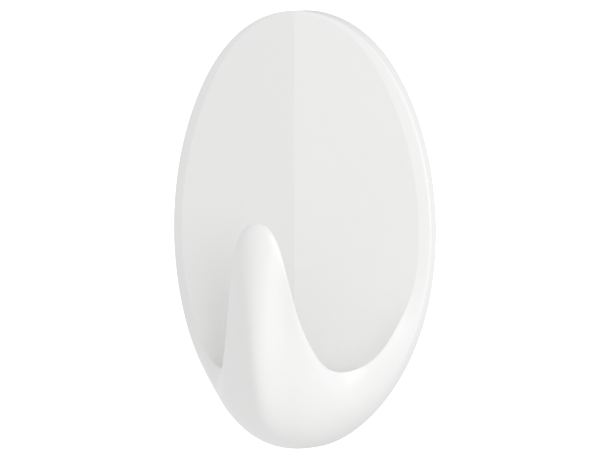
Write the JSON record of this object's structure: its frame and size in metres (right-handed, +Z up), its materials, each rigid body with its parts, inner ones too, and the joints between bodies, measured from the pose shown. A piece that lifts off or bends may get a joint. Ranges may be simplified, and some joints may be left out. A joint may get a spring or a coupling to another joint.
{
  "type": "adhesive wall hook",
  "caption": "Oval two-facet plastic wall hook whose cover, with a flared J-shaped hook, slides down over a base plate stuck to the wall with a pull-tab strip.",
  "frame": {"origin": "on the wall plane, behind the middle of the oval cover", "axes": "+Y into the wall, +Z up along the wall and the cover's long axis, +X to the right seen from the front"},
  "size_m": [0.051, 0.0219, 0.078],
  "materials": {
    "cover_plastic": "smooth, glossy, white",
    "plate_plastic": "fine matt moulding texture",
    "strip_foam": "closed-cell foam",
    "strip_glue": "tacky, slightly milky",
    "tab_film": "thin smooth film"
  },
  "bodies": {
    "wall_base": {"base_plate": "plate_plastic", "foam_core": "strip_foam", "plate_glue": "strip_glue", "wall_glue": "strip_glue", "tab_films": "tab_film"},
    "cover": {"hook_cover": "cover_plastic"}
  },
  "joints": [
    {"name": "cover_slide", "type": "slide", "parent": "wall_base", "child": "cover", "axis": [0, 0, 1], "range_m": [0, 0.00725]}
  ]
}
